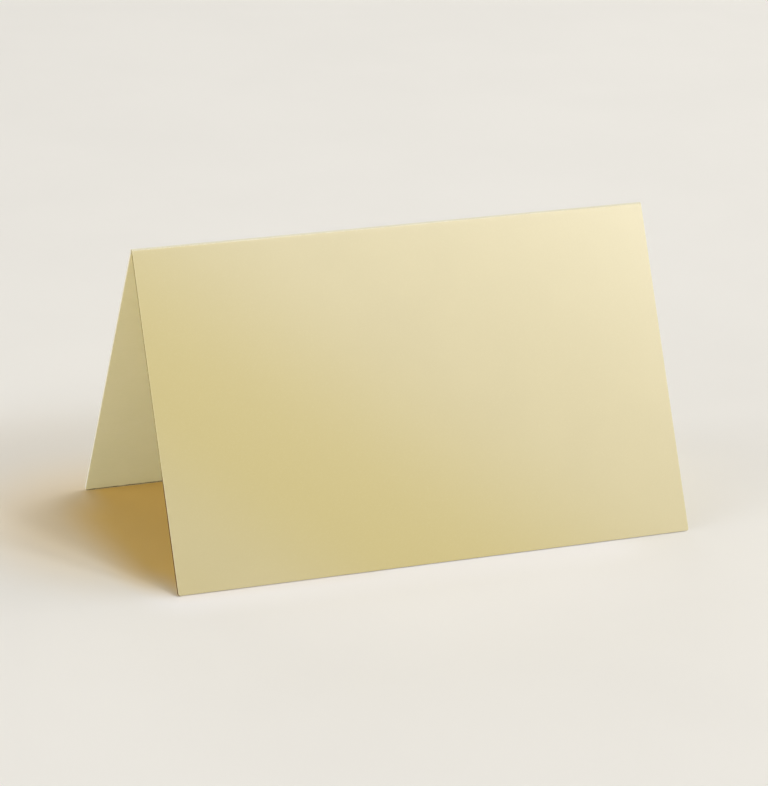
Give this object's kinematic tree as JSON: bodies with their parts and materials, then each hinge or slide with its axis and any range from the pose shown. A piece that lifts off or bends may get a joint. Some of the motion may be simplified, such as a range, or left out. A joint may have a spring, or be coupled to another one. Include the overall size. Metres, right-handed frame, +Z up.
{
  "type": "place card",
  "caption": "Plain blank card folded along its middle, standing as a small tent with a flat sloping panel at the front and one at the back.",
  "frame": {"origin": "on the surface the card stands on, midway between the two feet and midway along the fold", "axes": "+X along the fold, -Y out of the front panel, +Z up"},
  "size_m": [0.1, 0.0548, 0.0559],
  "materials": {
    "pearl_card": "satin pearlescent pale gold, dyed through"
  },
  "bodies": {
    "root": {"folded_card": "pearl_card"}
  },
  "joints": []
}
